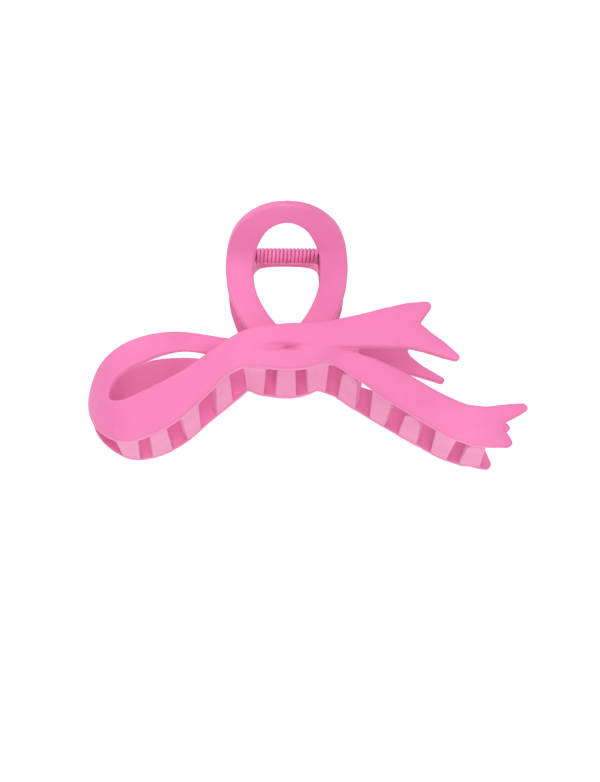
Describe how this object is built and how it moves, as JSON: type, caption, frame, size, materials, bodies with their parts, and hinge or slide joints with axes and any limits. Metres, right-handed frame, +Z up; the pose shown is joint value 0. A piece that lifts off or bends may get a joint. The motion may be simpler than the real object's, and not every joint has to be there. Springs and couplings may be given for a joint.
{
  "type": "bow-shaped claw hair clip",
  "caption": "Bow-shaped claw hair clip: two mirrored jaws with finger loops and interlocking teeth, hinged on a pin and closed by a torsion spring.",
  "frame": {"origin": "middle of the closed clip's bounding box, on the surface it lies on", "axes": "+X towards the long ribbon tails, +Y towards the finger loops, +Z up out of the front face"},
  "size_m": [0.1133, 0.0688, 0.054],
  "materials": {
    "front_jaw": "soft-touch matt",
    "rear_jaw": "soft-touch matt",
    "pin": "plain",
    "spring": "coated wire"
  },
  "bodies": {
    "rear": {"rear_half": "rear_jaw", "hinge_pin": "pin", "torsion_spring": "spring"},
    "front": {"front_half": "front_jaw"}
  },
  "joints": [
    {"name": "jaw_hinge", "type": "hinge", "parent": "rear", "child": "front", "pos_m": [-0.0056, 0.0227, 0.02617], "axis": [-1, 0, 0], "range_deg": [0, 60], "stiffness_Nm_per_rad": 0.12, "springref_deg": -57.3, "deforming": ["torsion_spring"]}
  ]
}
